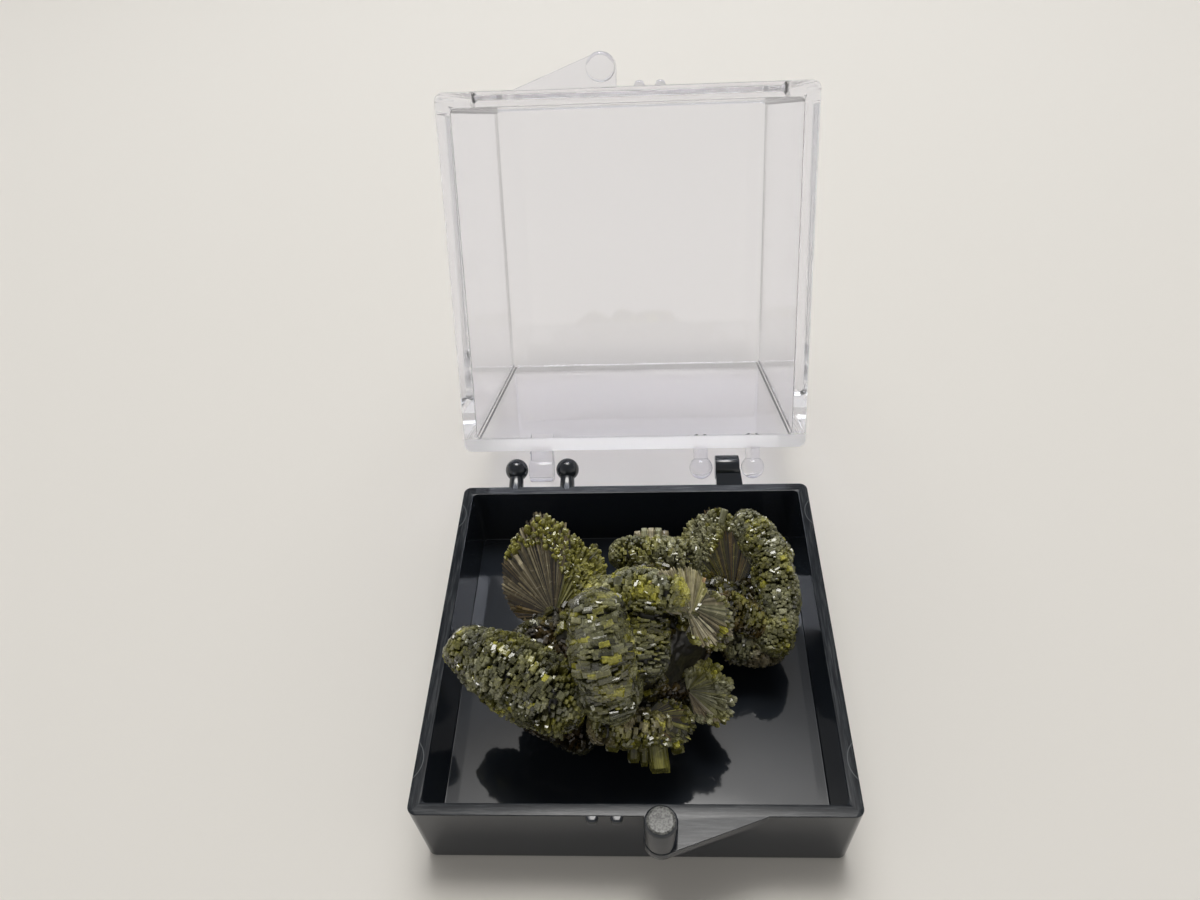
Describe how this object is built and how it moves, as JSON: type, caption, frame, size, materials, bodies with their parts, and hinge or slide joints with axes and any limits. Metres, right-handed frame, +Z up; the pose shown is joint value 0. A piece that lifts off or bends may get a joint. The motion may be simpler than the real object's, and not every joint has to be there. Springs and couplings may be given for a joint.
{
  "type": "epidote crystal specimen in a hinged display box",
  "caption": "Cluster of olive epidote crystal fans, resting in a small black tray with a clear deep lid hinged at the back, standing open.",
  "frame": {"origin": "middle of the tray's underside", "axes": "+Z up, +Y towards the hinges, +X to the right as seen from the front"},
  "size_m": [0.032, 0.0717, 0.0423],
  "materials": {
    "black_polystyrene": "polished black moulding, satin on the rim",
    "clear_polystyrene": "polished clear moulding, see-through",
    "epidote": "vitreous crystal faces, translucent olive to pistachio green with brown cores"
  },
  "bodies": {
    "tray": {"tray": "black_polystyrene", "epidote": "epidote"},
    "lid": {"lid": "clear_polystyrene"}
  },
  "joints": [
    {"name": "lid_hinge", "type": "hinge", "parent": "tray", "child": "lid", "pos_m": [0, 0.01795, 0.00765], "axis": [1, 0, 0], "range_deg": [0, 113]}
  ]
}
